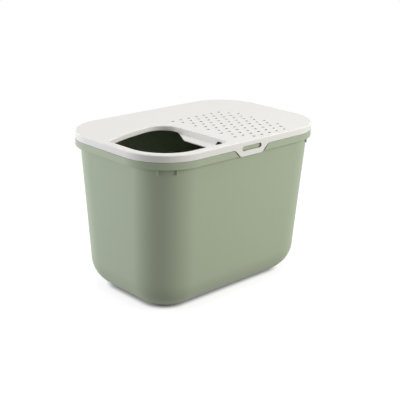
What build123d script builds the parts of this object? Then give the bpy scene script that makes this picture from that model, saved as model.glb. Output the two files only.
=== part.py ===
"""Top entry litter box: a deep drafted tub and a lift-off lid with an entrance in its top.

Millimetres. X runs along the length, Y across the width and Z up. The origin is the
centre of the footprint on the surface the box stands on. The entrance is at the -X, -Y
corner of the lid and the draining field of holes fills the +X half.
"""
from build123d import *
from math import atan2, cos, degrees, radians, sin, sqrt, tan
import os

# ---------------------------------------------------------------- overall size
length = 585.0              # lid and rim, end to end
width = 390.0               # lid and rim, side to side
height = 410.0              # floor to lid top
corner_radius = 120.0       # plan corner of the lid and of the tub's rim

# ---------------------------------------------------------------- tub
tub_wall = 2.8
tub_floor = 3.2
end_inset = 16.0            # tub wall inside the rim outline, at the short ends, at the rim
side_inset = 7.5            # the same at the long sides
end_draft = 2.7             # degrees from the vertical
side_draft = 3.2
wall_corner = 102.0         # corner of the wall, square to its slope
heel_radius = 80.0          # the big round between wall and base
base_lift = 1.5             # base plate above the floor
foot_spread_end = 28.0      # foot ring beyond the flat of the base, at the ends
foot_spread_side = 22.0     # the same at the sides
foot_corner = 52.0
foot_wall = 3.0

# ---------------------------------------------------------------- rim of the tub
skirt_height = 17.0         # lid skirt, from the seat to the lid top
band_height = 18.0          # band of the tub below the seat
band_wall = 2.5
rim_rise = 9.0              # riser of the rim above the seat, inside the lid's skirt
rim_clearance = 0.7         # riser to skirt
seam_bevel = 0.8            # broken edges on both sides of the seam
rim_bevel = 1.4             # lead-in at the top of the riser

# ---------------------------------------------------------------- nesting fins under the band
fin_height = 14.0
fin_thickness = 2.6
fin_inset = 6.0             # outer edge of a fin inside the band's face
fin_angles = (41.0, 63.5)   # from the X axis, round each plan corner

# ---------------------------------------------------------------- lid
lid_wall = 2.5
lid_round = 3.0             # fold between top and skirt
locator_reach = 8.0         # rib below the lid that drops inside the tub wall
locator_wall = 2.0
locator_clearance = 1.2

# ---------------------------------------------------------------- latch tabs and their lugs
tab_top_width = 115.0       # where the tab leaves the skirt
tab_bottom_width = 72.0
tab_drop = 20.0             # below the seat
tab_shoulder_round = 18.0
tab_toe_round = 13.0
tab_gap = 2.8               # tab to the sides of the pocket in the band
tab_pocket_depth = 5.5      # pocket face behind the rim outline
slot_width = 66.0
slot_height = 12.0
slot_rise = -1.2            # slot centre, from the seat up
lug_end_gap = 3.0           # slot end to lug end
lug_edge_gap = 1.6          # slot edge to lug edge
lug_clearance = 0.3         # lug to the back of the tab
lug_lead = 1.6              # sloped face that the tab slides over
lug_window_gap = 4.0        # end of the slot to the end of the recess behind it

# ---------------------------------------------------------------- entrance
entrance_clearance = 0.8    # entrance wall inside the tub wall
entrance_right = -62.0      # X of the right wall
entrance_back_left = 9.5    # Y of the back wall at its left end
entrance_back_mid = 43.5    # Y half way along
entrance_back_right = 57.0  # Y at its right end
entrance_tip_round = 8.0
entrance_back_round = 46.0
entrance_front_round = 9.0
entrance_wall = 2.4
entrance_depth = 12.5       # lip below the lid top
entrance_edge_round = 4.0

# ---------------------------------------------------------------- scoop ledge beside the entrance
ledge_width = 27.0
ledge_drop = 16.0           # ledge floor below the lid top
ledge_floor = 2.5
ledge_start = -8.0          # Y where the entrance starts to narrow
ledge_full = -52.0          # Y where the ledge has its full width
ledge_turn_round = 16.0
scoop_hole_width = 22.0
scoop_hole_height = 10.0
scoop_hole_from_front = 17.0   # front wall of the entrance to the hole's near edge
scoop_hole_round = 7.0

# ---------------------------------------------------------------- draining field
hole_diameter = 9.0
hole_pitch_x = 27.35
hole_pitch_y = 23.3
hole_rows = 11
holes_per_row = 7
field_centre = (74.7, -57.0)

# ---------------------------------------------------------------- worked out from the above
seat_z = height - skirt_height
band_bottom = seat_z - band_height
rim_top = seat_z + rim_rise
lid_under = height - lid_wall
riser_inset = lid_wall + rim_clearance
half_length = length / 2
half_width = width / 2
corner_x = half_length - corner_radius
corner_y = half_width - corner_radius
entrance_margin = end_inset + tub_wall + entrance_clearance + entrance_wall
entrance_left = entrance_margin - half_length
entrance_front = entrance_margin - half_width
ledge_z = height - ledge_drop
bevel_share = 2 - sqrt(2)   # leg of a bevel that touches the middle of a round, over its radius
standing = (Align.CENTER, Align.CENTER, Align.MIN)


# ---------------------------------------------------------------- shared outlines
def spread_of(draft, rise):
    """Sideways spread of a drafted wall over a rise."""
    return rise * tan(radians(draft))


def rounded(half_x, half_y, radius, z):
    """Rounded rectangle at height z."""
    return Pos(0, 0, z) * RectangleRounded(2 * half_x, 2 * half_y, radius)


def slab(inset, low, high):
    """Plate with the lid's plan outline, moved in by an inset."""
    plan = rounded(half_length - inset, half_width - inset, corner_radius - inset, low)
    return extrude(plan, high - low)


def wall_section(z, inset):
    """Plan of the tub wall at height z, moved in by an inset."""
    half_x = half_length - end_inset - spread_of(end_draft, rim_top - z) - inset
    half_y = half_width - side_inset - spread_of(side_draft, rim_top - z) - inset
    return rounded(half_x, half_y, wall_corner - inset, z)


def round_corner(face, point, radius):
    """Rounds the corner of a flat face that lies nearest to a point."""
    return fillet(face.vertices().sort_by_distance(point)[0], radius)


def on_long_side(face, side, y):
    """Stands a front view on the long side that faces side * Y, its zero at the seat."""
    plane = Plane(origin=(0, side * y, seat_z), x_dir=(-side, 0, 0), z_dir=(0, side, 0))
    return plane * face


# ---------------------------------------------------------------- tub
def tub_form(low, inset):
    """Drafted block with rounded corners and heel, from height low to the top of the rim."""
    long_side = 2 * (half_length - end_inset - inset)
    short_side = 2 * (half_width - side_inset - inset)
    block = Pos(0, 0, low) * Box(long_side, short_side, rim_top - low, align=standing)
    rim = Plane(origin=(0, 0, rim_top))
    block = draft(block.faces().filter_by(Axis.X), rim, -end_draft)
    block = draft(block.faces().filter_by(Axis.Y), rim, -side_draft)
    levels = block.edges().group_by(Axis.Z)
    block = fillet(levels[1], wall_corner - inset)
    return fillet(block.edges().group_by(Axis.Z)[0], heel_radius - inset)


def foot_ring():
    """Ring that the tub stands on, just outside the flat of its base."""
    flat_x = half_length - end_inset - spread_of(end_draft, rim_top - heel_radius) - heel_radius
    flat_y = half_width - side_inset - spread_of(side_draft, rim_top - heel_radius) - heel_radius
    half_x = flat_x + foot_spread_end
    half_y = flat_y + foot_spread_side
    heel_rise = heel_radius - sqrt(heel_radius ** 2 - foot_spread_end ** 2)
    top = base_lift + heel_rise + tub_wall / 2
    ring = extrude(rounded(half_x, half_y, foot_corner, 0), top)
    inner = rounded(half_x - foot_wall, half_y - foot_wall, foot_corner - foot_wall, 0)
    return ring - extrude(inner, top)


def stepped_rim():
    """Band below the seat and riser above it, open underneath like a folded edge."""
    band = slab(0, band_bottom, seat_z)
    levels = band.edges().group_by(Axis.Z)
    band = chamfer(levels[0] + levels[-1], seam_bevel)
    riser = slab(riser_inset, band_bottom, rim_top)
    riser = chamfer(riser.edges().group_by(Axis.Z)[-1], rim_bevel)
    under_band = slab(band_wall, band_bottom, seat_z - band_wall)
    under_riser = slab(riser_inset + band_wall, band_bottom, rim_top - band_wall)
    return band + riser - [under_band, under_riser]


def nesting_fin(x_sign, y_sign, angle):
    """Upright fin in a plan corner, below the band."""
    direction = atan2(y_sign * sin(radians(angle)), x_sign * cos(radians(angle)))
    depth = fin_inset + end_inset
    plate = Box(depth, fin_thickness, fin_height + band_wall, align=(Align.MAX, Align.CENTER, Align.MIN))
    turned = Rot(0, 0, degrees(direction)) * Pos(corner_radius - fin_inset, 0, 0) * plate
    return Pos(x_sign * corner_x, y_sign * corner_y, band_bottom - fin_height) * turned


def tab_face(margin):
    """Latch tab seen from the front, from the seat down, grown by a margin."""
    shoulder = (tab_top_width / 2 + margin, 0)
    toe = (tab_bottom_width / 2 + margin, -tab_drop - margin)
    arm = (shoulder[0] + tab_shoulder_round, 0)
    roof = (arm[0], rim_rise)
    right = [roof, arm, shoulder, toe]
    left = [(-x, y) for x, y in reversed(right)]
    face = make_face(Polyline(*right, *left, close=True))
    for sign in (-1, 1):
        face = round_corner(face, (sign * shoulder[0], shoulder[1]), tab_shoulder_round - margin)
        face = round_corner(face, (sign * toe[0], toe[1]), tab_toe_round + margin)
    above = Pos(0, rim_rise / 2) * Rectangle(2 * arm[0] + 1, rim_rise)
    return face - above


def lug_window(margin):
    """Recess behind the slot, from the seat up, grown by a margin."""
    wide = slot_width + 2 * (lug_window_gap + margin)
    return Pos(0, rim_rise / 2) * Rectangle(wide, rim_rise)


def latch_backing(side):
    """Thick patch of rim that the latch pocket is sunk in, as deep as the band."""
    inner = half_width - side_inset - tub_wall
    band_front = Pos(0, -band_height / 2) * Rectangle(length, band_height)
    lower = on_long_side(tab_face(tab_gap + band_wall) & band_front, side, inner)
    upper = on_long_side(lug_window(band_wall), side, inner)
    return [extrude(lower, half_width - inner), extrude(upper, half_width - riser_inset - inner)]


def latch_pocket(side):
    """Space for the tab, open below, and for the recess behind its slot."""
    face = half_width - tab_pocket_depth
    lower = on_long_side(tab_face(tab_gap), side, face)
    upper = on_long_side(lug_window(0), side, face)
    return [extrude(lower, 2 * tab_pocket_depth), extrude(upper, 2 * tab_pocket_depth)]


def latch_lug(side):
    """Wedge that stands in the slot of the tab."""
    face = half_width - tab_pocket_depth
    crest = half_width - lid_wall - lug_clearance
    low = slot_rise - slot_height / 2 + lug_edge_gap
    high = slot_rise + slot_height / 2 - lug_edge_gap
    lug_length = slot_width - 2 * lug_end_gap
    root = face - tub_wall
    section = Polyline((root, low), (crest, low), (crest, slot_rise), (face + lug_lead, high), (root, high), close=True)
    plane = Plane(origin=(-side * lug_length / 2, 0, seat_z), x_dir=(0, side, 0), z_dir=(side, 0, 0))
    return extrude(plane * make_face(section), lug_length)


def tub():
    """Deep tub with heel, foot ring, stepped rim, latch pockets, lugs and nesting fins."""
    added = [stepped_rim(), foot_ring()]
    cut = []
    for side in (-1, 1):
        added += latch_backing(side)
        cut += latch_pocket(side)
        for x_sign in (-1, 1):
            added += [nesting_fin(x_sign, side, angle) for angle in fin_angles]
    body = tub_form(base_lift, 0) + added
    body = body - cut
    body = body + [latch_lug(side) for side in (-1, 1)]
    return body - tub_form(base_lift + tub_floor, tub_wall)


# ---------------------------------------------------------------- lid
def entrance_plan(narrow):
    """Plan of the entrance: the whole pocket, or the way through beside the ledge."""
    edge = entrance_right - ledge_width if narrow else entrance_right
    front_left = (entrance_left, entrance_front)
    front_right = (edge, entrance_front)
    turn_in = (edge, ledge_full)
    turn_out = (entrance_right, ledge_start)
    back_right = (entrance_right, entrance_back_right)
    back_mid = ((entrance_left + entrance_right) / 2, entrance_back_mid)
    back_left = (entrance_left, entrance_back_left)
    right_side = [front_right, turn_in, turn_out, back_right] if narrow else [front_right, back_right]
    walls = Polyline(back_left, front_left, *right_side)
    face = make_face([walls, ThreePointArc(back_right, back_mid, back_left)])
    if narrow:
        face = round_corner(face, turn_in, ledge_turn_round)
        face = round_corner(face, turn_out, ledge_turn_round)
    face = round_corner(face, front_left, corner_radius - entrance_margin)
    face = round_corner(face, front_right, entrance_front_round)
    face = round_corner(face, back_right, entrance_back_round)
    return round_corner(face, back_left, entrance_tip_round)


def prism(face, low, high):
    """Upright prism on a plan, from height low to height high."""
    return extrude(Pos(0, 0, low) * face, high - low)


def entrance_walls():
    """Lip round the entrance, deeper and with a floor along the scoop ledge."""
    ring = offset(entrance_plan(narrow=False), entrance_wall)
    lip = prism(ring, height - entrance_depth, height - lid_wall / 2)
    block_low = ledge_z - ledge_floor
    reach_x = ledge_width + entrance_wall
    reach_y = ledge_start - entrance_front + entrance_wall
    corner = (entrance_right + entrance_wall, entrance_front - entrance_wall, block_low)
    block = Pos(*corner) * Box(reach_x, reach_y, height, align=(Align.MAX, Align.MIN, Align.MIN))
    return [lip, prism(ring, block_low, height - lid_wall / 2) & block]


def scoop_hole():
    """Arched hole at the foot of the ledge wall, near its front end."""
    near = entrance_front + scoop_hole_from_front
    arch = Rectangle(scoop_hole_width, 2 * scoop_hole_height)
    arch = fillet(arch.vertices(), scoop_hole_round)
    lower = Pos(0, -scoop_hole_height) * Rectangle(scoop_hole_width, 2 * scoop_hole_height)
    plane = Plane(
        origin=(entrance_right - entrance_wall / 2, near + scoop_hole_width / 2, ledge_z),
        x_dir=(0, 1, 0), z_dir=(1, 0, 0),
    )
    return extrude(plane * (arch - lower), 2 * entrance_wall)


def draining_holes():
    """Staggered rows of round holes through the top."""
    left = field_centre[0] - hole_pitch_x * (holes_per_row - 0.5) / 2
    front = field_centre[1] - hole_pitch_y * (hole_rows - 1) / 2
    discs = []
    for row in range(hole_rows):
        shift = hole_pitch_x / 2 if row % 2 == 0 else 0.0
        columns = range(holes_per_row)
        if row == 0:
            columns = range(1, holes_per_row - 1)
        if row == hole_rows - 1:
            columns = range(-1, holes_per_row - 1)
        for column in columns:
            x = left + shift + column * hole_pitch_x
            discs.append(Pos(x, front + row * hole_pitch_y) * Circle(hole_diameter / 2))
    return prism(Sketch() + discs, lid_under - lid_wall, height + lid_wall)


def locating_rib():
    """Rib below the top that drops inside the tub wall."""
    low = rim_top - locator_reach
    inset = tub_wall + locator_clearance
    outer = extrude(wall_section(low, inset), height - lid_wall / 2 - low)
    return outer - extrude(wall_section(low, inset + locator_wall), height - low)


def latch_tab(side):
    """Slotted tab that hangs from the skirt in front of the tub's band."""
    face = on_long_side(tab_face(0), side, half_width - lid_wall)
    return extrude(face, lid_wall)


def tab_slot(side):
    """Slot that the lug shows through."""
    slot = Pos(0, slot_rise) * RectangleRounded(slot_width, slot_height, slot_height / 2 - 0.01)
    return extrude(on_long_side(slot, side, half_width - 2 * lid_wall), 3 * lid_wall)


def lid():
    """Lid with skirt, latch tabs, entrance, scoop ledge and draining field."""
    shell = slab(0, seat_z, height)
    shell = fillet(shell.edges().group_by(Axis.Z)[-1], lid_round)
    shell = chamfer(shell.edges().group_by(Axis.Z)[0], seam_bevel)
    inside = slab(lid_wall, seat_z, lid_under)
    inside = chamfer(inside.edges().group_by(Axis.Z)[-1], (lid_round - lid_wall) * bevel_share)
    shell = shell - inside
    added = entrance_walls() + [locating_rib()] + [latch_tab(side) for side in (-1, 1)]
    through = prism(entrance_plan(narrow=True), seat_z - band_height, height + lid_wall)
    pocket = prism(entrance_plan(narrow=False), ledge_z, height + lid_wall)
    body = shell + added
    body = body - [through, pocket]
    body = fillet(edges_on(body, entrance_plan(narrow=False), height), entrance_edge_round)
    return body - [scoop_hole(), draining_holes(), tab_slot(-1), tab_slot(1)]


def edges_on(body, plan, z):
    """Flat edges of a body at height z that lie within a plan's reach."""
    reach = plan.bounding_box()
    level = body.edges().filter_by_position(Axis.Z, z - 0.01, z + 0.01)
    near_x = level.filter_by_position(Axis.X, reach.min.X - 1, reach.max.X + 1)
    return near_x.filter_by_position(Axis.Y, reach.min.Y - 1, reach.max.Y + 1)


os.makedirs("parts", exist_ok=True)
for name, solid in (("tub", tub()), ("lid", lid())):
    export_step(solid, f"parts/{name}.step")
    box = solid.bounding_box()
    print(name, "solids", len(solid.solids()), "volume", round(solid.volume), box.min, box.max)
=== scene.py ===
# %% [markdown]
# # Top entry litter box
# A deep tub of sage green polypropylene and a warm white lid that lifts off. The lid has an
# entrance in one corner, a ledge for the scoop beside it, a field of draining holes and a slotted
# latch tab in the middle of each long side. Both pieces are injection mouldings: thin walls of
# even thickness, drafted sides and a small round on every edge.
#
# Each moulding is one surface that is worked out with numpy. Most of it is a section carried
# round a rounded rectangle, and the flat parts with openings in them are filled with triangles.

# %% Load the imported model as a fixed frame
from math import atan2, cos, pi, radians, sin, sqrt, tan

import bmesh
import bpy
import numpy as np
from mathutils import Matrix, Vector
from mathutils.geometry import delaunay_2d_cdt


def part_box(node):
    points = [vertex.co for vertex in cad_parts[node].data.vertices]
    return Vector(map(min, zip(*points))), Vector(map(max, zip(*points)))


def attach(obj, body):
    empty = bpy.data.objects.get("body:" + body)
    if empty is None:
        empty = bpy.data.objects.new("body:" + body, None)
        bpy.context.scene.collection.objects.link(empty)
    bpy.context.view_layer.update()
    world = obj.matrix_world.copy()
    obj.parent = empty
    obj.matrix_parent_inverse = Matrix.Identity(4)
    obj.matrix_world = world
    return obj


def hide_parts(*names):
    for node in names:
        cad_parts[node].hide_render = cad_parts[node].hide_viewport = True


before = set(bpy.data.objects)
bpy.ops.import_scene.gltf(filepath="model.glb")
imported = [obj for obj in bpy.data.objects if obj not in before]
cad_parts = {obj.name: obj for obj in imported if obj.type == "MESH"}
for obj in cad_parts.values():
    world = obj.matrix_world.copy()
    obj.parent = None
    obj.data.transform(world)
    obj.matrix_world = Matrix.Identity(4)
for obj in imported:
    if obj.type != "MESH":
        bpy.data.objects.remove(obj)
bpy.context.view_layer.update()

# %% [markdown]
# ## Sizes
# The overall sizes come from the frame, so the surfaces fill the same space as the solids. The
# others are a mould maker's sizes, in millimetres.

# %% Overall sizes, from the frame
MM = 0.001
lid_low, lid_high = (np.array(corner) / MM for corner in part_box("lid"))
tub_high = np.array(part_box("tub")[1]) / MM
half_length, half_width, height = lid_high
tab_low = lid_low[2]
rim_top = tub_high[2]
print("lid", 2 * half_length, "by", 2 * half_width, "top at", height, "rim at", rim_top)

# %% Sizes of the tub
corner_radius = 120.0
tub_wall, tub_floor = 2.8, 3.2
end_inset, side_inset = 16.0, 7.5
end_draft, side_draft = radians(2.7), radians(3.2)
wall_corner, heel_radius = 102.0, 80.0
base_lift = 1.5
foot_half_length, foot_half_width = 209.3, 111.5
foot_corner, foot_wall, foot_round = 52.0, 3.0, 1.8

# %% Sizes of the rim, the latches and the lid
skirt_height, band_height, band_wall = 17.0, 18.0, 2.5
rim_clearance = 0.7
rim_round, band_round = 1.0, 1.0
lid_wall, lid_round = 2.5, 3.0
tab_top, tab_bottom = 57.5, 36.0        # half widths of the latch tab
tab_drop = 20.0
shoulder_round, toe_round = 18.0, 13.0
pocket_gap, pocket_depth = 2.8, 5.5
slot_half, slot_radius, slot_rise = 33.0, 6.0, -1.2
seat = height - skirt_height
band_bottom = seat - band_height
riser_inset = lid_wall + rim_clearance
lid_under = height - lid_wall
window = 88.0                            # half width of the stretch round a latch


# %% [markdown]
# ## One surface for each moulding
# A moulding has no seams, so its surface should have none. It could be a solid cut with booleans,
# or a block that is bevelled, but then the faces along thin edges are hard to control. Here rows
# of points make a grid, flat parts are filled between loops, and points that coincide are welded
# at the end. The count of open edges shows if a seam was missed.

# %% A welded surface made of grids and flat fills
class Moulding:
    """Points and faces, gathered part by part and welded at the end."""

    def __init__(self):
        self.points, self.faces, self.count = [], [], 0

    def add(self, points, faces, flip=False):
        """Faces index into points, and are turned over if flip is set."""
        points = np.asarray(points, float).reshape(-1, 3)
        faces = np.asarray(faces)
        faces = faces[:, ::-1] if flip else faces
        self.faces += (faces + self.count).tolist()
        self.points.append(points)
        self.count += len(points)

    def grid(self, rows, closed=True, flip=False, drop=None):
        """Point (row, station) of the grid and its three neighbours make one face."""
        rows = np.asarray(rows, float)
        index = np.arange(rows.shape[0] * rows.shape[1]).reshape(rows.shape[:2])
        here = index if closed else index[:, :-1]
        after = np.roll(index, -1, axis=1) if closed else index[:, 1:]
        faces = np.stack([here[:-1], here[1:], after[1:], after[:-1]], -1)
        faces = faces.reshape(-1, 4) if drop is None else faces[~drop]
        self.add(rows, faces, flip)

    def cap(self, loop, flip=False):
        """One flat face inside a loop."""
        self.add(loop, np.arange(len(loop))[None, :], flip)

    def mesh(self, name):
        """Welds the points that coincide and returns the mesh."""
        mesh = bpy.data.meshes.new(name)
        mesh.from_pydata((np.concatenate(self.points) * MM).tolist(), [], self.faces)
        work = bmesh.new()
        work.from_mesh(mesh)
        bmesh.ops.remove_doubles(work, verts=work.verts, dist=3e-6)
        open_edges = sum(len(edge.link_faces) != 2 for edge in work.edges)
        work.to_mesh(mesh)
        work.free()
        print(name, len(mesh.vertices), "points", len(mesh.polygons), "faces", open_edges, "open edges")
        return mesh


# %% [markdown]
# ## Flat parts with openings
# The lid's top is flat, and full of holes. A grid can't follow them all. A constrained Delaunay
# triangulation keeps every edge of the outline and of the openings, and the triangles that fall
# inside an opening are left out.

# %% Filling a flat part that has openings
def inside(points, loop):
    """Which points lie in a loop: a ray to the right crosses its edges an odd number of times."""
    ahead = np.roll(loop, -1, axis=0)
    x, y = points[:, :1], points[:, 1:]
    spans = (loop[:, 1] > y) != (ahead[:, 1] > y)
    rise = np.where(ahead[:, 1] == loop[:, 1], 1.0, ahead[:, 1] - loop[:, 1])
    crossing = loop[:, 0] + (y - loop[:, 1]) / rise * (ahead[:, 0] - loop[:, 0])
    return (spans & (x < crossing)).sum(axis=1) % 2 == 1


def flat_fill(outer, openings):
    """Triangles between an outer loop and the loops of its openings, all in the plane."""
    loops = [outer, *openings]
    points = np.concatenate(loops)
    starts = np.cumsum([0] + [len(loop) for loop in loops[:-1]])
    edges = [np.stack([np.arange(len(loop)), np.roll(np.arange(len(loop)), -1)], 1) + start
             for loop, start in zip(loops, starts)]
    made = delaunay_2d_cdt(points.tolist(), np.concatenate(edges).tolist(), [], 1, 1e-7)
    source = np.array([origin[0] if origin else -1 for origin in made[3]])
    triangles = source[np.array(made[2])]
    corners = points[triangles]
    middle = corners.mean(axis=1)
    solid = np.ones(len(triangles), bool)
    for opening in openings:
        solid &= ~inside(middle, opening)
    turn = np.cross(corners[:, 1] - corners[:, 0], corners[:, 2] - corners[:, 0])
    triangles[turn < 0] = triangles[turn < 0][:, ::-1]
    return points, triangles[solid]


# %% [markdown]
# ## A path round the box
# Rim, wall, heel and foot are all rounded rectangles, one above the other. If each has the same
# number of stations, in the same order, a row joins the next with plain four sided faces. The
# second half is the first one turned half a turn.

# %% Stations round a rounded rectangle
class Plan:
    """Stations round a rounded rectangle, the same for every size."""

    def __init__(self, columns, end_rows=(-45.0, -15.0, 15.0, 45.0), arc_steps=20):
        """columns are the X places along the front, end_rows the Y places along the end."""
        columns, end_rows = np.asarray(columns, float), np.asarray(end_rows, float)
        turn = np.linspace(0, pi / 2, arc_steps + 1)
        self.size = len(columns)
        zero, one = np.zeros(len(turn)), np.ones(len(turn))
        flat, end = np.zeros(len(columns)), np.zeros(len(end_rows))
        self.place_x = np.concatenate([columns, zero, end, zero])
        self.place_y = np.concatenate([flat, zero, end_rows, zero])
        self.core_x = np.concatenate([flat, one, end + 1, one])
        self.core_y = np.concatenate([flat - 1, -one, end, one])
        self.normal_x = np.concatenate([flat, np.sin(turn), end + 1, np.cos(turn)])
        self.normal_y = np.concatenate([flat - 1, -np.cos(turn), end, np.sin(turn)])
        self.pad = np.zeros(len(self.place_x) - self.size)

    def spread(self, values):
        """Values of the columns, followed by zeros for the other stations."""
        return np.concatenate([values, self.pad])

    def loop(self, half_x, half_y, radius, z, columns=None):
        """Side station: its own place along the side. Corner station: centre + radius * normal."""
        place_x = self.place_x.copy()
        if columns is not None:
            place_x[:self.size] = columns
        x = place_x + self.core_x * (half_x - radius) + self.normal_x * radius
        y = self.place_y + self.core_y * (half_y - radius) + self.normal_y * radius
        half = np.stack([x, y], 1)
        z = np.broadcast_to(z, x.shape)
        return np.column_stack([np.concatenate([half, -half]), np.concatenate([z, z])])

    def ring(self, inset, z, columns=None):
        """The outline of the lid, moved in by an inset."""
        return self.loop(half_length - inset, half_width - inset, corner_radius - inset, z, columns)


def mirrored(right):
    """Values along the right half of a side, the middle first, made into the whole side."""
    return np.concatenate([right[:0:-1], right])


def quarter(steps=5):
    """(1 - sin a, 1 - cos a) from a = 0 to a right angle."""
    turn = np.linspace(0, pi / 2, steps + 1)
    return np.column_stack([1 - np.sin(turn), 1 - np.cos(turn)])


# %% [markdown]
# ## Where the stations lie
# The band is notched for the latch tab, with slanted sides. The stations near the notch follow
# those sides at each height, so that the edge of the notch is a line of the grid and stays crisp.

# %% Columns along the long sides of the tub
notch_round = 0.8
plain = np.array([100.0, 120.0, 140.0])
inner_places = np.array([0.0, 9.0, 18.0, 27.0, 35.0, 37.0, 37.0])
edge_steps = quarter(4) * notch_round
edge_places = np.concatenate([edge_steps[:, 1], [3.0, 3.4]])
edge_depths = np.concatenate([edge_steps[:, 0], [0.0, 0.0]])
half_depth = np.concatenate([np.full(len(inner_places) + 1, pocket_depth), edge_depths,
                             np.zeros(1 + len(plain))])
half_riser = np.where(np.arange(len(half_depth)) < len(inner_places) - 1, pocket_depth, riser_inset)
half_backed = np.arange(len(half_depth)) < len(inner_places) + 1 + len(edge_places) - 1


def notch_half(drop):
    """Half width of the notch at a drop below the seat: a shoulder round, then a slanted line."""
    run, fall = tab_top - tab_bottom, tab_drop + pocket_gap
    slant = atan2(fall, run)
    radius = shoulder_round - pocket_gap
    tangent = radius * tan(slant / 2)
    start = tab_top + pocket_gap
    if drop < tangent * sin(slant):
        return start + tangent - sqrt(max(radius ** 2 - (radius - drop) ** 2, 0))
    return start - drop * run / fall


def notch_columns(drop):
    """X places of the columns at a drop below the seat."""
    half = notch_half(min(max(drop, 0.0), band_height))
    right = np.concatenate([inner_places, [half], half + edge_places, [window], plain])
    sign = np.concatenate([-np.ones(len(right) - 1), np.ones(len(right))])
    return sign * mirrored(right)


tub_plan = Plan(notch_columns(band_height))
depth_here = tub_plan.spread(mirrored(half_depth))
backed = tub_plan.spread(mirrored(half_backed.astype(float))) > 0
riser_here = np.concatenate([mirrored(half_riser), np.full(len(tub_plan.pad), riser_inset)])
low_columns = notch_columns(band_height)
print("tub stations", 2 * len(depth_here))


# %% [markdown]
# ## The drafted wall
# Moulded walls lean outwards towards the top, so that the tub comes off its core and so that
# empty tubs stack. The wall is one plan that shrinks with depth, at a different rate on the ends
# and on the sides.

# %% Rows of the drafted wall
def wall_size(inset, z):
    """Half sizes and corner radius of the drafted wall at height z, moved in by an inset."""
    drop = rim_top - z
    return (half_length - end_inset - tan(end_draft) * drop - inset,
            half_width - side_inset - tan(side_draft) * drop - inset, wall_corner - inset)


def wall_row(inset, z, columns=low_columns):
    """The wall's outline at height z, moved in by an inset."""
    return tub_plan.loop(*wall_size(inset, z), z, columns)


# %% [markdown]
# ## The heel
# The big round at the foot of the tub is a quarter circle in section. It could be a bevel on a
# sharp edge, but then its faces would not line up with the stations of the wall. Instead each
# loop is dropped onto the round, by how far it lies out.

# %% The heel, a quarter round that joins wall and base
def heel_core(inset, lift):
    """Half sizes, corner, radius and centre height of the heel's round."""
    radius = heel_radius - inset
    half_x, half_y, corner = wall_size(inset, lift + radius)
    return half_x - radius, half_y - radius, corner - radius, radius, lift + radius


def heel_row(size, core):
    """Loop of a given size, dropped onto the heel.

    Height = centre - sqrt(radius^2 - distance^2), where distance is how far the point lies
    outside the flat of the base.
    """
    half_x, half_y, corner, radius, centre = core
    loop = tub_plan.loop(*size, 0.0, low_columns)
    over = np.abs(loop[:, :2]) - np.array([half_x - corner, half_y - corner])
    distance = np.linalg.norm(np.maximum(over, 0), axis=1) + np.minimum(over.max(axis=1), 0) - corner
    distance = np.clip(distance, 0, radius)
    loop[:, 2] = centre - np.sqrt(radius ** 2 - distance ** 2)
    return loop


def heel_rows(inner, outer, core, steps):
    """Rows from one loop size to another, closer together where the heel is steep."""
    inner, outer = np.array(inner), np.array(outer)
    reach = np.clip(np.array([inner[0] - core[0], outer[0] - core[0]]) / core[3], 0, 1)
    turn = np.linspace(*np.arcsin(reach), steps + 1)
    share = (np.sin(turn) - reach[0]) / (reach[1] - reach[0])
    return [heel_row(inner + (outer - inner) * s, core) for s in share]


heel_turn = radians(87.0)                # short of a right angle, because the wall is drafted


def heel_top(core):
    """Loop size where the heel has turned far enough to meet the drafted wall."""
    spread = core[3] * sin(heel_turn)
    return core[0] + spread, core[1] + spread, core[2] + spread


# %% [markdown]
# ## The inside of the tub
# The tub's surface is drawn as one long section, from the middle of the floor, up the inside and
# over the rim, then down the outside. A section drawn in one go keeps the wall's thickness true.

# %% The inside of the tub, from the floor to the rim
inner_core = heel_core(tub_wall, base_lift + tub_floor)
rows = heel_rows(inner_core[:3], heel_top(inner_core), inner_core, 16)
heel_end = rows[-1][:, 2].max()
rows += [wall_row(tub_wall, z) for z in np.linspace(heel_end, rim_top - rim_round, 9)[1:-1]]
rows += [wall_row(tub_wall - rim_round + rim_round * cos(a), rim_top - rim_round + rim_round * sin(a))
         for a in np.linspace(0, pi / 2, 5)]
print("inside rows", len(rows))

# %% [markdown]
# ## The rim and the band
# The rim steps in, so that the lid's skirt sits flush outside it. Below the seat the plastic is
# folded down into a band, which stiffens the rim and gives the hands something to hold. A fine
# groove at the seat shows where the lid ends.

# %% The rim, the seat and the band
seam, seam_round = 0.6, 0.4              # groove at the seat, and the round above the band
groove_inset = (1.9, 1.7)                # of the groove's upper and lower edge
rows += [tub_plan.ring(riser_here + rim_round * (1 - sin(a)), rim_top - rim_round * (1 - cos(a)), low_columns)
         for a in np.linspace(0, pi / 2, 5)]
rows.append(tub_plan.ring(riser_here, seat, notch_columns(0)))
rows.append(tub_plan.ring(np.maximum(groove_inset[0], depth_here), seat, notch_columns(0)))
rows.append(tub_plan.ring(np.maximum(groove_inset[1], depth_here), seat - seam, notch_columns(0)))
for back, down in quarter(4):
    rows.append(tub_plan.ring(np.maximum(back * seam_round, depth_here), seat - seam - down * seam_round,
                              notch_columns(seam + down * seam_round)))
for drop in (1.5, 2.0, 2.6, 3.3, 4.1, 5.0, 9.0, 13.0, band_height - band_round):
    rows.append(tub_plan.ring(depth_here, seat - drop, notch_columns(drop)))
for down, back in quarter(4)[1:]:
    rows.append(tub_plan.ring(np.maximum(back * band_round, depth_here),
                              band_bottom + down * band_round, low_columns))

# %% [markdown]
# ## Behind the band
# The band hangs clear of the wall, and one can look up into the hollow. At the notch there is no
# band to hang, so there the rows close against the wall.

# %% The hollow behind the band, filled where the latch notch is
wall_inset = side_inset + tan(side_draft) * (rim_top - band_bottom)


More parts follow.
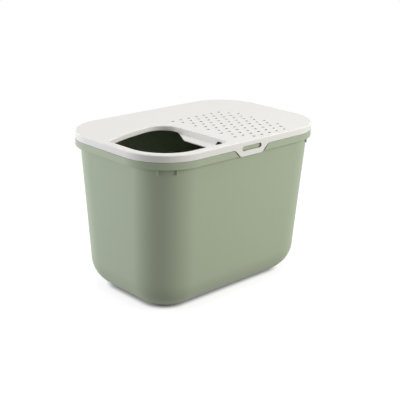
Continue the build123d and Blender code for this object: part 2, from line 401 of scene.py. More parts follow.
def hollow_row(inset, z, share):
    """Backed columns stay on the band's lower edge, a share of the way from notch to wall."""
    fill_inset = pocket_depth + (wall_inset - pocket_depth) * share
    edge_inset = np.where(depth_here > fill_inset, depth_here, fill_inset)
    return tub_plan.ring(np.where(backed, edge_inset, inset),
                         np.where(backed, band_bottom, z), notch_columns(seat - z))


roof = seat - band_wall
hollow_steps = (384.0, 378.0)            # heights between the roof and the band's lower edge
rows.append(hollow_row(band_wall, band_bottom, 0.0))
rows.append(hollow_row(band_wall, roof, 0.3))
outer_roof = wall_row(0.0, roof, notch_columns(seat - roof))
backed_twice = np.concatenate([backed, backed])
low_wall = wall_row(0.0, band_bottom)
rows.append(np.where(backed_twice[:, None], low_wall, outer_roof))
for z in hollow_steps:
    rows.append(np.where(backed_twice[:, None], low_wall, wall_row(0.0, z, notch_columns(seat - z))))
rows.append(low_wall)

# %% [markdown]
# ## The outer wall
# The outside is the same wall and heel again, without the wall's thickness taken off.

# %% The outer wall and the heel down to the foot
outer_core = heel_core(0.0, base_lift)
outer_top = heel_top(outer_core)
foot_size = (foot_half_length, foot_half_width, foot_corner)
heel_down = heel_rows(foot_size, outer_top, outer_core, 16)[::-1]
heel_begin = heel_down[0][:, 2].max()
rows += [wall_row(0.0, z) for z in np.linspace(band_bottom, heel_begin, 12)[1:-1]]
rows += heel_down[:-1]


print("rows down to the foot", len(rows))

# %% [markdown]
# ## The foot ring
# The tub stands on a narrow ring, so that a base that bulges a little doesn't rock. It is a short
# upright wall with small rounds, inside which the base lies a little higher.

# %% The foot ring and the base
def foot_row(inset, z):
    """The foot ring's outline at height z, moved in by an inset."""
    return tub_plan.loop(foot_size[0] - inset, foot_size[1] - inset, foot_size[2] - inset, z, low_columns)


foot_fillet, foot_step = 1.2, 0.9         # where the heel runs into the ring
blend = heel_row(tuple(size + foot_fillet for size in foot_size), outer_core)
rows[-1] = blend
side = foot_row(0.0, 0.0)
side[:, 2] = np.maximum(heel_down[-1][:, 2] - foot_step, foot_round + 0.2)
rows.append(side)
rows += [foot_row(foot_round * back, foot_round * down) for down, back in quarter(4)]
rows += [foot_row(foot_wall - back, down) for down, back in quarter(4)[::-1]]
base_size = tuple(size - foot_wall for size in foot_size)
rows.append(heel_row(base_size, outer_core))
rows += heel_rows(outer_core[:3], base_size, outer_core, 3)[::-1][1:]

tub_shell = Moulding()
tub_shell.grid(rows)
tub_shell.cap(rows[0])
tub_shell.cap(rows[-1], flip=True)
tub_mesh = tub_shell.mesh("tub_shell")


# %% [markdown]
# ## Fins and lugs
# Two small upright fins at each corner probably keep stacked tubs from jamming, and a wedge
# behind each tab catches the lid. They are plates with a short section, so they are extruded and
# bevelled, and run into the wall behind them.

# %% Plates with small bevels: the fins and the lugs
def prism(section, along, place, name, bevel=0.4):
    """Solid between two copies of a flat section that lie `along` apart, with bevelled edges."""
    section = np.asarray(section, float)
    along = np.asarray(along, float)
    count = len(section)
    points = np.concatenate([section, section + along])
    work = bmesh.new()
    made = [work.verts.new((place @ Vector(point)) * MM) for point in points]
    work.faces.new(made[:count][::-1])
    work.faces.new(made[count:])
    for i in range(count):
        j = (i + 1) % count
        work.faces.new([made[i], made[j], made[count + j], made[count + i]])
    bmesh.ops.recalc_face_normals(work, faces=work.faces)
    if bevel:
        bmesh.ops.bevel(work, geom=list(work.edges), offset=bevel * MM, segments=3, profile=0.5,
                        affect="EDGES")
    mesh = bpy.data.meshes.new(name)
    work.to_mesh(mesh)
    work.free()
    return mesh


def wall_reach(angle, z):
    """How far the drafted wall is from the centre of the lid's corner, at an angle in plan."""
    half_x, half_y, corner = wall_size(0.0, z)
    back_x = half_length - corner_radius - half_x + corner
    back_y = half_width - corner_radius - half_y + corner
    along = back_x * cos(radians(angle)) + back_y * sin(radians(angle))
    return sqrt(along ** 2 - back_x ** 2 - back_y ** 2 + corner ** 2) - along


fin_height, fin_thick, fin_inset = 14.0, 2.6, 6.0
fin_root, fin_bevel = 1.4, 1.1           # how far a fin starts inside the wall
fin_angles = (41.0, 63.5)                # from the X axis, round each corner


def fin_mesh(x_sign, y_sign, angle):
    """Upright fin in a plan corner, from below the band up into the hollow behind it."""
    direction = atan2(y_sign * sin(radians(angle)), x_sign * cos(radians(angle)))
    centre = (x_sign * (half_length - corner_radius), y_sign * (half_width - corner_radius), 0)
    place = Matrix.Translation(centre) @ Matrix.Rotation(direction, 4, "Z")
    low, high, far = band_bottom - fin_height, roof + 1.0, corner_radius - fin_inset
    face = -fin_thick / 2
    section = [(wall_reach(angle, low) - fin_root, face, low), (far, face, low),
               (far, face, high), (wall_reach(angle, high) - fin_root, face, high)]
    return prism(section, (0, fin_thick, 0), place, "fin", fin_bevel)


lug_half, lug_gap, lug_root, lug_bevel = 30.0, 1.6, 2.0, 0.3


def lug_mesh(side):
    """Wedge behind the slot of the tab: upright below, and sloped above for the tab to slide over."""
    face, crest = half_width - pocket_depth, half_width - lid_wall - lug_gap
    middle = seat + slot_rise
    low, high = middle - slot_radius + lug_gap, middle + slot_radius - lug_gap
    section = [(-lug_half, face - lug_root, low), (-lug_half, crest, low), (-lug_half, crest, middle),
               (-lug_half, face + lug_gap, high), (-lug_half, face - lug_root, high)]
    turned = Matrix.Rotation(pi if side < 0 else 0.0, 4, "Z")
    return prism(section, (2 * lug_half, 0, 0), turned, "lug", lug_bevel)


def joined(name, meshes):
    """One object from several meshes."""
    work = bmesh.new()
    for mesh in meshes:
        work.from_mesh(mesh)
    mesh = bpy.data.meshes.new(name)
    work.to_mesh(mesh)
    work.free()
    piece = bpy.data.objects.new(name, mesh)
    bpy.context.scene.collection.objects.link(piece)
    return piece


small = [fin_mesh(x, y, angle) for x in (-1, 1) for y in (-1, 1) for angle in fin_angles]
small += [lug_mesh(side) for side in (-1, 1)]
tub_shell = joined("tub_shell", [tub_mesh, *small])
print("fins and lugs", len(small))

# %% [markdown]
# ## The latch tab
# The tab is the skirt itself, drawn down in the middle of each long side. Its outline is a toe
# round, a slant and a shoulder round, and the skirt's lower edge simply follows it.

# %% The outline of the latch tab
slant = atan2(tab_drop, tab_top - tab_bottom)
toe_centre = (tab_bottom - toe_round * tan(slant / 2), tab_low + toe_round)
shoulder_centre = (tab_top + shoulder_round * tan(slant / 2), seat - shoulder_round)
edge_out = 0.5                           # round on the skirt's lower edge


def tab_outline():
    """X, Z and the inward normal along the right half of the skirt's lower edge."""
    points = [(x, tab_low, 0.0, 1.0) for x in (0.0, 9.0, 18.0, 27.0)]
    for a in np.linspace(0, slant, 7):
        points.append((toe_centre[0] + toe_round * sin(a), toe_centre[1] - toe_round * cos(a),
                       -sin(a), cos(a)))
    for a in np.linspace(slant, 0, 7):
        points.append((shoulder_centre[0] - shoulder_round * sin(a),
                       shoulder_centre[1] + shoulder_round * cos(a), -sin(a), cos(a)))
    for x in (78.0, window, 100.0, 125.0, 150.0, 171.0):
        points.append((x, seat, 0.0, 1.0))
    return np.array(points)


outline = tab_outline()
flip_sign = np.array([-1.0, 1.0, -1.0, 1.0])
whole = np.concatenate([outline[:0:-1] * flip_sign, outline])
lid_plan = Plan(whole[:, 0])
in_window = np.abs(whole[:, 0]) < window + 0.01
low_z = np.concatenate([whole[:, 1], np.full(len(lid_plan.pad), seat)])
normal_out = np.concatenate([whole[:, 3], np.ones(len(lid_plan.pad))])
print("lid stations", 2 * len(low_z))


def edge_row(inset, offset):
    """Row along the skirt's lower edge, offset into the skirt."""
    return lid_plan.ring(inset, low_z + normal_out * offset, whole[:, 0] + whole[:, 2] * offset)


# %% [markdown]
# ## The skirt
# The lid's edge folds over and down. The rows run from the top over the fold, down the face,
# round the lower edge and up the inside. Round the tabs the flat faces are left out, because the
# slot has to be cut in them.

# %% The fold and the skirt
fold_low = height - lid_round
rows = [lid_plan.ring(lid_round + 1.5, height), lid_plan.ring(lid_round, height)]
rows += [lid_plan.ring(lid_round * (1 - sin(a)), height - lid_round * (1 - cos(a)))
         for a in np.linspace(0, pi / 2, 9)[1:]]
face_top = len(rows) - 1
rows.append(edge_row(0.0, edge_out))
rows += [edge_row(edge_out * back, edge_out * up) for up, back in quarter(4)[1:]]
rows.append(edge_row(lid_wall, 0.0))
inner_low = len(rows) - 1
inner_round = lid_round - lid_wall
rows += [lid_plan.ring(lid_round - inner_round * cos(a), fold_low + inner_round * sin(a))
         for a in np.linspace(0, pi / 2, 6)]
rows.append(lid_plan.ring(lid_round + 0.8, lid_under))
rows = np.array(rows)
drop = np.zeros((len(rows) - 1, rows.shape[1]), bool)
station = np.arange(rows.shape[1]) % len(low_z)
span = np.where(in_window)[0]
dropped = (station >= span[0]) & (station < span[-1])
drop[face_top, dropped] = True
drop[inner_low, dropped] = True
lid_shell = Moulding()
lid_shell.grid(rows, drop=drop)
print("skirt rows", len(rows), "faces left out", int(drop.sum()))

# %% [markdown]
# ## The slots
# Each tab has a slot that the lug looks out of. The face is filled round the slot, once outside
# and once inside, and a short tunnel with a rounded edge joins the two.

# %% The slotted faces of the tabs, outside and inside
slot_turn = np.linspace(-pi / 2, pi / 2, 13)
slot_z = seat + slot_rise
slot_edge, slot_margin = 0.6, 1.4         # round on the slot's outer edge, and the flat kept round it
end_normal = np.stack([np.cos(slot_turn), np.sin(slot_turn)], 1)
slot_end = np.array([slot_half - slot_radius, slot_z]) + slot_radius * end_normal
slot_loop = np.concatenate([slot_end, slot_end[::-1] * [-1, 1]])
slot_normal = np.concatenate([end_normal, end_normal[::-1] * [-1, 1]])


def on_front(points, inset, side):
    """Places (x, z) points on a long side; the far side is the near one turned half a turn."""
    points = np.asarray(points)
    x, z = points[:, 0], points[:, 1]
    return np.stack([-side * x, np.full(len(x), side * (half_width - inset)), z], 1)


for side in (-1, 1):
    offset = 0 if side < 0 else len(low_z)
    for row, inset, ring_out, flip in ((face_top, 0.0, slot_margin, False), (inner_low, lid_wall, 0.0, True)):
        top_row = rows[face_top if row == face_top else inner_low + 1][span + offset]
        low_row = rows[face_top + 1 if row == face_top else inner_low][span + offset]
        boundary = np.concatenate([low_row, top_row[::-1]])[:, [0, 2]] * [-side, 1]
        points, faces = flat_fill(boundary, [slot_loop + slot_normal * ring_out])
        lid_shell.add(on_front(points, inset, side), faces, flip)
    tunnel = [on_front(slot_loop + slot_normal * slot_margin, 0.0, side)]
    tunnel += [on_front(slot_loop + slot_normal * slot_edge * back, slot_edge * inward, side)
               for back, inward in quarter(4)]
    tunnel.append(on_front(slot_loop, lid_wall, side))
    lid_shell.grid(tunnel, flip=True)


# %% [markdown]
# ## The entrance
# The cat jumps in through a hole in one corner of the lid. Its outline is made of straight lines
# and arcs that touch: a large corner in front, a long curved back and a small tip. Each round is
# placed by working out its centre.

# %% The outline of the entrance
class Path:
    """Samples of a closed outline, anticlockwise from above: place and outward normal."""

    def __init__(self):
        self.places, self.normals = [], []

    def point(self, place, normal):
        self.places.append(np.array(place))
        self.normals.append(np.array(normal))

    def line(self, start, end, steps):
        """Points between start and end, without the ends; the normal is the direction turned right."""
        start, end = np.array(start), np.array(end)
        along = (end - start) / np.linalg.norm(end - start)
        for share in np.linspace(0, 1, steps + 1)[1:-1]:
            self.places.append(start + (end - start) * share)
            self.normals.append(np.array([along[1], -along[0]]))

    def arc(self, centre, radius, first, last, steps):
        """Centre + radius * (cos a, sin a), for a from first to last; the normal is (cos a, sin a)."""
        for a in np.linspace(first, last, steps + 1):
            self.places.append(np.array(centre) + radius * np.array([cos(a), sin(a)]))
            self.normals.append(np.array([cos(a), sin(a)]))


left, right, front = -270.5, -62.0, -173.0
ledge_in, ledge_out = -89.0, -8.0         # X of the ledge's inner edge, and Y where the ledge begins
pin = 0.05                               # how close extra stations lie to its ends
back_points = np.array([(left, 9.5), ((left + right) / 2, 43.5), (right, 57.0)])
sums = (back_points ** 2).sum(axis=1)
matrix = 2 * (back_points[1:] - back_points[0])
back_centre = np.linalg.solve(matrix, sums[1:] - sums[0])
back_radius = np.linalg.norm(back_points[0] - back_centre)
back_round, tip_round, front_round, front_left_round = 46.0, 8.0, 9.0, 98.0


def joining_round(x, radius, inner_side):
    """Centre of the round that touches the upright line x and the back arc from inside."""
    centre_x = x + inner_side * radius
    rise = sqrt((back_radius - radius) ** 2 - (centre_x - back_centre[0]) ** 2)
    return np.array([centre_x, back_centre[1] + rise])


right_round = joining_round(right, back_round, -1)
left_round = joining_round(left, tip_round, 1)
angle_right = atan2(*(right_round - back_centre)[::-1])
angle_left = atan2(*(left_round - back_centre)[::-1])
entrance = Path()
fl_centre = (left + front_left_round, front + front_left_round)
entrance.arc(fl_centre, front_left_round, pi, 1.5 * pi, 24)
entrance.line((fl_centre[0], front), (ledge_in - pin, front), 6)
entrance.point([ledge_in - pin, front], [0.0, -1.0])
entrance.line((ledge_in - pin, front), (right - front_round, front), 12)
entrance.arc((right - front_round, front + front_round), front_round, -pi / 2, 0, 10)
entrance.line((right, front + front_round), (right, ledge_out - pin), 40)
entrance.point([right, ledge_out - pin], [1.0, 0.0])
entrance.point([right, ledge_out + pin], [1.0, 0.0])
entrance.line((right, ledge_out + pin), (right, right_round[1]), 3)
entrance.arc(right_round, back_round, 0, angle_right, 14)
entrance.arc(back_centre, back_radius, angle_right, angle_left, 20)
entrance.arc(left_round, tip_round, angle_left, pi, 10)
entrance.line((left, left_round[1]), (left, fl_centre[1]), 6)
place, normal = np.array(entrance.places), np.array(entrance.normals)
gap = np.linalg.norm(place - np.roll(place, 1, axis=0), axis=1)
place, normal = place[gap > 1e-6], normal[gap > 1e-6]
print("entrance stations", len(place))

# %% [markdown]
# ## The ledge
# Beside the entrance the lid is set down into a narrow ledge, most likely for the scoop. The
# ledge widens from nothing, so its inner edge leaves the outline at one end and meets the front
# wall at the other.

# %% The scoop ledge
on_ledge = (place[:, 0] > ledge_in - 0.01) & (place[:, 1] < ledge_out)
turn_in, turn_out, turn_round = np.array([ledge_in, -52.0]), np.array([right, ledge_out]), 16.0
lean = atan2(turn_out[0] - turn_in[0], turn_out[1] - turn_in[1])
tangent = turn_round * tan(lean / 2)


def ledge_edge(y):
    """X and outward normal (towards the ledge) of the ledge's inner edge at a height y in plan."""
    if y < turn_in[1] - tangent:
        return ledge_in, np.array([1.0, 0.0])
    if y < turn_in[1] + tangent * cos(lean):
        a = np.arcsin((y - turn_in[1] + tangent) / turn_round)
        return ledge_in + turn_round * (1 - cos(a)), np.array([cos(a), -sin(a)])
    if y > turn_out[1] - tangent * cos(lean):
        a = np.arcsin(min((turn_out[1] + tangent - y) / turn_round, 1.0))
        return right - turn_round * (1 - cos(a)), np.array([cos(a), -sin(a)])
    return ledge_in + (y - turn_in[1]) * tan(lean), np.array([cos(lean), -sin(lean)])


walk = np.concatenate([[0.0], np.cumsum(np.linalg.norm(np.diff(place, axis=0), axis=1))])
ledge_begin = walk[on_ledge][0]
corner_end = walk[(place[:, 0] > right - 1e-6) & (place[:, 1] < front + front_round + 1e-6)][0]
inner_place, inner_normal = place.copy(), normal.copy()
foot, edge = np.zeros(len(place)), np.zeros(len(place))
for i in np.where(on_ledge)[0]:
    share = min((walk[i] - ledge_begin) / (corner_end - ledge_begin), 1.0)
    y = place[i, 1] if share >= 1 else front + front_round * share
    x, inner_normal[i] = ledge_edge(y)
    inner_place[i] = (x, y)
    width = right - x if share >= 1 else min(walk[i] - ledge_begin, y - front)
    foot[i] = min(4.0, 0.45 * width)
    edge[i] = min(0.8, 0.3 * width)

print("ledge stations", int(on_ledge.sum()))

# %% [markdown]
# ## The lip
# A lip hangs down round the entrance, so that litter stays inside. It is carried round the
# outline. Where the ledge is, the same rows turn inwards and make its floor, so that lip and
# ledge are one surface.

# %% The entrance's wall, lip and ledge, row by row
ledge_z, ledge_under, lip_wall, lip_edge = 394.0, 391.5, 2.4, 0.8
entrance_round = 2.5
lip_depth, lip_extra, lip_blend = 12.5, 6.0, 9.0   # deeper by lip_extra just past the ledge, over lip_blend
lean_out, lean_in, lean_fade = 3.5, 12.0, 60.0     # how the wall beside the ledge leans back
ledge_end = walk[on_ledge][-1]


def eased(share):
    """Goes smoothly from 0 to 1 while the share does."""
    share = np.clip(share, 0, 1)
    return share ** 2 * (3 - 2 * share)


past_ledge = np.where((walk < ledge_begin) | on_ledge, 1.0, eased((walk - ledge_end) / lip_blend))
lip_low = height - lip_depth - lip_extra * (1 - past_ledge)
flare = lean_out * eased((walk - corner_end + lean_in) / lean_in)
flare *= 1 - eased((walk - ledge_end) / lean_fade)


def lip_row(offset, z):
    """The entrance's outline moved outwards by an offset, at height z."""
    xy = place + normal * np.broadcast_to(offset, len(place))[:, None]
    return np.column_stack([xy, np.broadcast_to(z, len(place))])


def ledge_row(offset, z):
    """On the ledge a row by its inner edge; elsewhere the outer corner of the lip."""
    xy = inner_place + inner_normal * np.broadcast_to(offset, len(place))[:, None]
    row = np.column_stack([xy, np.broadcast_to(z, len(place))])
    return np.where(on_ledge[:, None], row, lip_row(lip_edge, lip_low))


lip_rows = [lip_row(flare + entrance_round + 1.0, height), lip_row(flare + entrance_round, height)]
lip_rows += [lip_row(flare + entrance_round * back, height - entrance_round * down)
             for back, down in quarter(7)[1:]]
wall_mid = np.where(on_ledge, ledge_z + foot, lip_low + lip_edge)
for share in (0.4, 0.9, 1.0):
    lip_rows.append(lip_row(flare * (1 - share), (height - entrance_round) * (1 - share) + wall_mid * share))
for a in np.linspace(0, pi / 2, 6)[1:]:
    offset = np.where(on_ledge, -foot * (1 - cos(a)), lip_edge * (1 - cos(a)))
    lift = np.where(on_ledge, ledge_z + foot * (1 - sin(a)), lip_low + lip_edge * (1 - sin(a)))
    lip_rows.append(lip_row(offset, lift))
lip_rows += [ledge_row(edge * (1 - sin(a)), ledge_z - edge * (1 - cos(a)))
             for a in np.linspace(0, pi / 2, 5)]
lip_rows.append(ledge_row(0.0, ledge_under))
lip_rows.append(lip_row(lip_wall, np.where(on_ledge, ledge_under, lip_low)))
lip_rows.append(lip_row(lip_wall + flare, lid_under))
lid_shell.grid(lip_rows, flip=True)
print("lip rows", len(lip_rows))

# %% [markdown]
# ## The field of holes
# Litter that sticks to the paws falls back through a field of small holes. Every other row is
# shifted by half a pitch. Each hole is a short tube with a rounded upper edge.

# %% The draining holes
pitch_x, pitch_y, hole_rows, per_row = 27.35, 23.3, 11, 7
field = (74.7 - pitch_x * (per_row - 0.5) / 2, -57.0 - pitch_y * (hole_rows - 1) / 2)
centres = []
for row in range(hole_rows):
    columns = range(per_row)
    if row == 0:
        columns = range(1, per_row - 1)
    elif row == hole_rows - 1:
        columns = range(-1, per_row - 1)
    shift = pitch_x / 2 if row % 2 == 0 else 0.0
    centres += [(field[0] + shift + column * pitch_x, field[1] + row * pitch_y) for column in columns]
hole_turn = np.linspace(0, 2 * pi, 25)[:-1]
circle = np.stack([np.cos(hole_turn), np.sin(hole_turn)], 1)
hole_radius, hole_round, hole_margin = 4.5, 0.5, 1.4
for centre in centres:
    rings = [(hole_radius + hole_margin, height)]
    rings += [(hole_radius + hole_round * back, height - hole_round * down) for back, down in quarter(4)]
    rings.append((hole_radius, lid_under))
    tube = [np.column_stack([centre + circle * radius, np.full(len(circle), z)]) for radius, z in rings]
    lid_shell.grid(tube, flip=True)
print("holes", len(centres))

# %% [markdown]
# ## The top plate
# What is left of the top is flat. It is filled between the fold, the entrance and the holes, once
# above and once below.

# %% The flat top and its underside
top_face = (height, lid_round + 1.5, entrance_round + 1.0, hole_radius + hole_margin, False)
under_face = (lid_under, lid_round + 0.8, lip_wall, hole_radius, True)
for z, ring, lip, radius, flip in (top_face, under_face):
    outer = lid_plan.ring(ring, z)[:, :2]
    openings = [place + normal * (flare + lip)[:, None]]
    openings += [np.array(centre) + circle * radius for centre in centres]
    points, faces = flat_fill(outer, openings)
    lid_shell.add(np.column_stack([points, np.full(len(points), z)]), faces, flip)
lid_mesh = lid_shell.mesh("lid_shell")

# %% [markdown]
# ## The locating rib
# A low rib under the lid drops inside the tub, and centres the lid. It follows the wall's plan,
# and stops short on both sides of the entrance.

# %% The locating rib under the top
rib_plan = Plan(np.linspace(-172, 172, 9))
rib_reach, rib_clearance, rib_wall, rib_round = 8.0, 1.2, 2.0, 0.5
rib_top, rib_low = lid_under + 0.2, rim_top - rib_reach


def rib_row(inset, z):
    """The drafted wall's outline, moved in by an inset."""
    return rib_plan.loop(*wall_size(inset, z), z)


rib_inset = tub_wall + rib_clearance
rib_rows = [rib_row(rib_inset, rib_top)]
rib_rows += [rib_row(rib_inset + rib_round * back, rib_low + rib_round * up) for up, back in quarter(2)]
rib_rows += [rib_row(rib_inset + rib_wall - rib_round * back, rib_low + rib_round * up)
             for up, back in quarter(2)[::-1]]
rib_rows.append(rib_row(rib_inset + rib_wall, rib_top))
rib_rows = np.array(rib_rows)
near = inside(rib_rows[0][:, :2], place + normal * (flare + lip_wall + 3.0)[:, None])
near |= inside(rib_rows[-1][:, :2], place + normal * (flare + lip_wall + 0.5)[:, None])
gap_wraps = near[0] and near[-1]          # the gap at the entrance spans the first station
first_kept = np.where(~near)[0][0] if gap_wraps else np.where(near)[0][-1] + 1
order = (np.arange(len(near)) + first_kept) % len(near)
kept = order[~near[order]]
rib = Moulding()
rib.grid(rib_rows[:, kept], closed=False)
rib.cap(rib_rows[:, kept[0]])
rib.cap(rib_rows[:, kept[-1]], flip=True)
rib.grid(np.stack([rib_rows[-1, kept], rib_rows[0, kept]]), closed=False)
rib_mesh = rib.mesh("rib")
lid_shell = joined("lid_shell", [lid_mesh])

# %% [markdown]
# ## The arched hole
# A small arch at the foot of the ledge's wall is probably there for the end of the scoop's
# handle. It cuts through one thin wall and leaves a clean edge, so here a boolean is the simple
# way.

# %% The arched hole at the foot of the ledge wall
arch_near, arch_wide, arch_high, arch_round = front + 17.0, 22.0, 10.0, 7.0
arch_foot = ledge_z + 0.02               # just above the ledge, so that its floor stays whole
cutter_start, cutter_long = right - 8.0, 20.0
arch = [(arch_near, arch_foot)]
for centre_y, first in ((arch_near + arch_round, pi), (arch_near + arch_wide - arch_round, pi / 2)):
    arch += [(centre_y + arch_round * cos(a), ledge_z + arch_high - arch_round + arch_round * sin(a))
             for a in np.linspace(first, first - pi / 2, 9)]
arch.append((arch_near + arch_wide, arch_foot))
arch_section = [(cutter_start, y, z) for y, z in arch]
cutter = joined("cutter", [prism(arch_section, (cutter_long, 0, 0), Matrix.Identity(4), "cutter", 0.0)])
cut = lid_shell.modifiers.new("cut", "BOOLEAN")
cut.operation, cut.solver, cut.object = "DIFFERENCE", "EXACT", cutter
bpy.context.view_layer.update()
cut_mesh = bpy.data.meshes.new_from_object(lid_shell.evaluated_get(bpy.context.evaluated_depsgraph_get()))
bpy.data.objects.remove(cutter)
bpy.data.objects.remove(lid_shell)
lid_shell = joined("lid_shell", [cut_mesh, rib_mesh])
print("lid", len(lid_shell.data.vertices), "points")

# %% [markdown]
# ## Smooth shading
# The rounds should look round and the flats flat. Edges over 35 degrees stay sharp, and weighted
# normals let the large faces decide how the small ones beside them are shaded.

# %% Smooth shading with sharp edges kept
for piece in (tub_shell, lid_shell):
    work = bmesh.new()
    work.from_mesh(piece.data)
    bmesh.ops.dissolve_degenerate(work, dist=1e-6, edges=work.edges)
    work.to_mesh(piece.data)
    work.free()
    piece.data.shade_smooth()
    piece.data.set_sharp_from_angle(angle=radians(35))
    weigh = piece.modifiers.new("weigh", "WEIGHTED_NORMAL")
    weigh.keep_sharp = True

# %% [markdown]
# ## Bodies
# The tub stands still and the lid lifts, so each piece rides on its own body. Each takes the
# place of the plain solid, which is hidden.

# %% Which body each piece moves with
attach(tub_shell, "tub")
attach(lid_shell, "lid")
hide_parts("tub")
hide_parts("lid")


# %% [markdown]
# ## Shader maths
# Nodes could be wired one by one, but a formula reads better. This class wraps a socket, so that
# adding or multiplying adds the Math node. Every other node comes from one function.

# %% Shader sockets as numbers
class Value:
    """A shader socket that adds and multiplies like a number."""

    def __init__(self, tree, socket):
        self.tree, self.socket = tree, socket

    def _math(self, operation, first, second):
        made = node(self.tree, "ShaderNodeMath", {0: first, 1: second}, operation=operation)
        return Value(self.tree, made.outputs[0])

    def __add__(self, other):
        return self._math("ADD", self, other)

    def __radd__(self, other):
        return self._math("ADD", other, self)

    def __sub__(self, other):
        return self._math("SUBTRACT", self, other)

    def __rsub__(self, other):
        return self._math("SUBTRACT", other, self)

    def __mul__(self, other):
        return self._math("MULTIPLY", self, other)

    def __rmul__(self, other):
        return self._math("MULTIPLY", other, self)


def absolute(value):
    """The value without its sign."""
    return value._math("ABSOLUTE", value, 0.0)


def maximum(value, other):
    """The larger of two values."""
    return value._math("MAXIMUM", value, other)


def root(value):
    """The square root, as the power of a half."""
    return value._math("POWER", value, 0.5)


def node(tree, kind, inputs=None, **settings):
    """A node with its settings and inputs set. An input is a constant or a Value."""
    made = tree.nodes.new(kind)
    for key, item in settings.items():
        setattr(made, key, item)
    for key, item in (inputs or {}).items():
        if isinstance(item, Value):
            tree.links.new(item.socket, made.inputs[key])
        else:
            made.inputs[key].default_value = item
    return made


# %% [markdown]
# ## The finish
# A mould is spark eroded, which leaves a very fine grain that makes the plastic satin. Large
# mouldings also have faint clouds where it cooled unevenly. The grain is a bump, and the clouds
# touch the colour and the roughness a little.

# %% Satin moulded plastic
def plastic(name, colour, roughness, tint, gloss):
    """Polypropylene with a fine spark grain, and faint clouds in its colour and gloss."""
    made = bpy.data.materials.new(name)
    made.use_nodes = True
    tree = made.node_tree
    tree.nodes.clear()
    place = Value(tree, node(tree, "ShaderNodeTexCoord").outputs["Object"])
    soft = node(tree, "ShaderNodeTexNoise", {"Vector": place, "Scale": 9.0, "Detail": 3.0})
    fine = node(tree, "ShaderNodeTexNoise", {"Vector": place, "Scale": 1400.0, "Detail": 2.0})
    clouds, grain = Value(tree, soft.outputs["Fac"]), Value(tree, fine.outputs["Fac"])
    shade = (clouds - 0.5) * tint + 1.0
    scale = node(tree, "ShaderNodeVectorMath", {0: colour, "Scale": shade}, operation="SCALE")
    bump = node(tree, "ShaderNodeBump", {"Height": grain, "Strength": 0.12, "Distance": 0.0002})
    surface = node(tree, "ShaderNodeBsdfPrincipled", {
        "Base Color": Value(tree, scale.outputs[0]), "Roughness": (clouds - 0.5) * 0.06 + roughness,
        "IOR": 1.49, "Specular IOR Level": gloss, "Normal": Value(tree, bump.outputs["Normal"])})
    node(tree, "ShaderNodeOutputMaterial", {"Surface": Value(tree, surface.outputs["BSDF"])})
    return made


green = plastic("green_plastic", (0.36, 0.415, 0.30), 0.48, 0.04, 0.3)
white = plastic("white_plastic", (0.755, 0.743, 0.715), 0.62, 0.02, 0.15)
tub_shell.data.materials.append(green)
lid_shell.data.materials.append(white)

# %% [markdown]
# ## The camera
# A long lens from above one corner shows the top, a long side and an end. The camera also leans a
# little.

# %% The camera
azimuth, elevation, distance, roll = radians(-43.61), radians(18.98), 2.275, radians(-1.14)
back = Vector((sin(azimuth) * cos(elevation), -cos(azimuth) * cos(elevation), sin(elevation)))
across = Vector((cos(azimuth), sin(azimuth), 0))
above = back.cross(across)
target = Vector((0, 0, 0.198)) + across * 0.0127 + above * 0.0088
turned_across = across * cos(roll) - above * sin(roll)
turned_above = across * sin(roll) + above * cos(roll)
lens = bpy.data.cameras.new("camera")
lens.sensor_width = 36.0
lens.lens = 873.4 / 400 * lens.sensor_width   # a focal length of 873.4 pixels in a picture 400 wide
lens.clip_end = 50.0
camera = bpy.data.objects.new("camera", lens)
bpy.context.scene.collection.objects.link(camera)
turned = Matrix((turned_across, turned_above, back)).transposed().to_4x4()
camera.matrix_world = Matrix.Translation(target + back * distance) @ turned
bpy.context.scene.camera = camera

sky_strength, floor_glow, floor_grey = 0.33, 0.8, 0.33

# %% [markdown]
# ## The floor
# A white studio floor has no edge that one can see. The card fades out far from the box, glows
# white for the eye and for reflections, and carries a painted shadow close to the foot: its glow
# is turned down there, so that the box looks as if it stands on it.

# %% The floor and the backdrop
floor_mesh = bpy.data.meshes.new("floor")
floor_mesh.from_pydata([(-3, -3, 0), (3, -3, 0), (3, 3, 0), (-3, 3, 0)], [], [(0, 1, 2, 3)])
floor = bpy.data.objects.new("floor", floor_mesh)
bpy.context.scene.collection.objects.link(floor)
floor_paint = bpy.data.materials.new("floor")
floor_paint.use_nodes = True
tree = floor_paint.node_tree
tree.nodes.clear()
spot = Value(tree, node(tree, "ShaderNodeTexCoord").outputs["Object"])
far = Value(tree, node(tree, "ShaderNodeVectorMath", {0: spot}, operation="LENGTH").outputs["Value"])
fade = Value(tree, node(tree, "ShaderNodeMapRange", {
    "Value": far, "From Min": 0.75, "From Max": 1.35, "To Min": 1.0, "To Max": 0.0},
    interpolation_type="SMOOTHSTEP").outputs["Result"])
rays = node(tree, "ShaderNodeLightPath").outputs
seen = Value(tree, rays["Is Camera Ray"]) + Value(tree, rays["Is Glossy Ray"])
seen = seen + Value(tree, rays["Is Transmission Ray"])
paint = node(tree, "ShaderNodeBsdfDiffuse", {"Color": (floor_grey, floor_grey, floor_grey, 1)})
axes = node(tree, "ShaderNodeSeparateXYZ", {"Vector": spot})
over_x = maximum(absolute(Value(tree, axes.outputs["X"])) - (foot_half_length - foot_corner) * MM, 0.0)
over_y = maximum(absolute(Value(tree, axes.outputs["Y"])) - (foot_half_width - foot_corner) * MM, 0.0)
outside = root(over_x * over_x + over_y * over_y) - foot_corner * MM
# Painted contact shadow: the floor's glow falls to a tenth at the foot ring and is back in full 24 mm outside
# it.
foot_shadow_paint = Value(tree, node(tree, "ShaderNodeMapRange", {
    "Value": outside, "From Min": -0.002, "From Max": 0.024, "To Min": 0.1, "To Max": 1.0},
    interpolation_type="SMOOTHSTEP").outputs["Result"])
glow = node(tree, "ShaderNodeEmission", {"Color": (1, 1, 1, 1), "Strength": seen * foot_shadow_paint * floor_glow})
card = node(tree, "ShaderNodeAddShader", {0: Value(tree, paint.outputs[0]), 1: Value(tree, glow.outputs[0])})
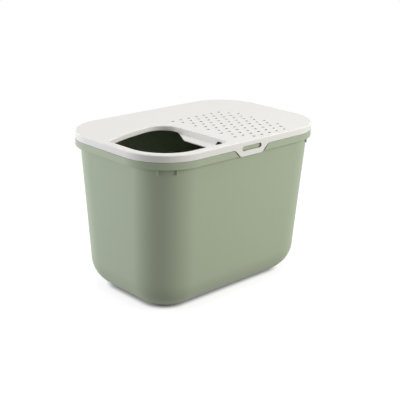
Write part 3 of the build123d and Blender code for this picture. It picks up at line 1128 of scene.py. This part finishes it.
clear = node(tree, "ShaderNodeBsdfTransparent")
edge = node(tree, "ShaderNodeMixShader", {
    "Fac": fade, 1: Value(tree, clear.outputs[0]), 2: Value(tree, card.outputs[0])})
node(tree, "ShaderNodeOutputMaterial", {"Surface": Value(tree, edge.outputs[0])})
floor.data.materials.append(floor_paint)

# %% [markdown]
# ## The light
# Three large panels and a weak sky light the box from above and from two sides. The share of each
# is how bright a white card in the middle would look, so that the levels can be compared.

# %% Soft studio light
world = bpy.data.worlds.new("studio")
bpy.context.scene.world = world
world.use_nodes = True
tree = world.node_tree
tree.nodes.clear()
rays = node(tree, "ShaderNodeLightPath").outputs
seen = Value(tree, rays["Is Camera Ray"]) + Value(tree, rays["Is Glossy Ray"])
seen = seen + Value(tree, rays["Is Transmission Ray"])
strength = seen * (1.0 - sky_strength) + sky_strength
sky = node(tree, "ShaderNodeBackground", {"Color": (1, 1, 1, 1), "Strength": strength})
node(tree, "ShaderNodeOutputWorld", {"Surface": Value(tree, sky.outputs[0])})


def soft_light(name, spot, width, tall, share, colour=(1.0, 1.0, 1.0)):
    """A panel that faces the middle of the box.

    The share is how bright a white card in the middle would look; power = share * (pi * distance)^2.
    """
    spot, middle = Vector(spot), Vector((0, 0, 0.2))
    lamp = bpy.data.lights.new(name, "AREA")
    lamp.shape = "RECTANGLE"
    lamp.size, lamp.size_y = width, tall
    lamp.energy, lamp.color = share * (pi * (spot - middle).length) ** 2, colour
    panel = bpy.data.objects.new(name, lamp)
    bpy.context.scene.collection.objects.link(panel)
    turned = (spot - middle).to_track_quat("Z", "Y").to_matrix().to_4x4()
    panel.matrix_world = Matrix.Translation(spot) @ turned
    return panel


soft_light("top", (0.0, 0.0, 2.6), 1.8, 1.8, 0.54)
soft_light("left", (-1.75, 1.75, 0.55), 1.4, 0.8, 0.74, (0.98, 0.98, 1.05))
soft_light("right", (1.2, -2.05, 1.1), 1.4, 1.4, 0.67, (1.01, 0.99, 0.95))
bpy.context.scene.view_settings.view_transform = "Standard"
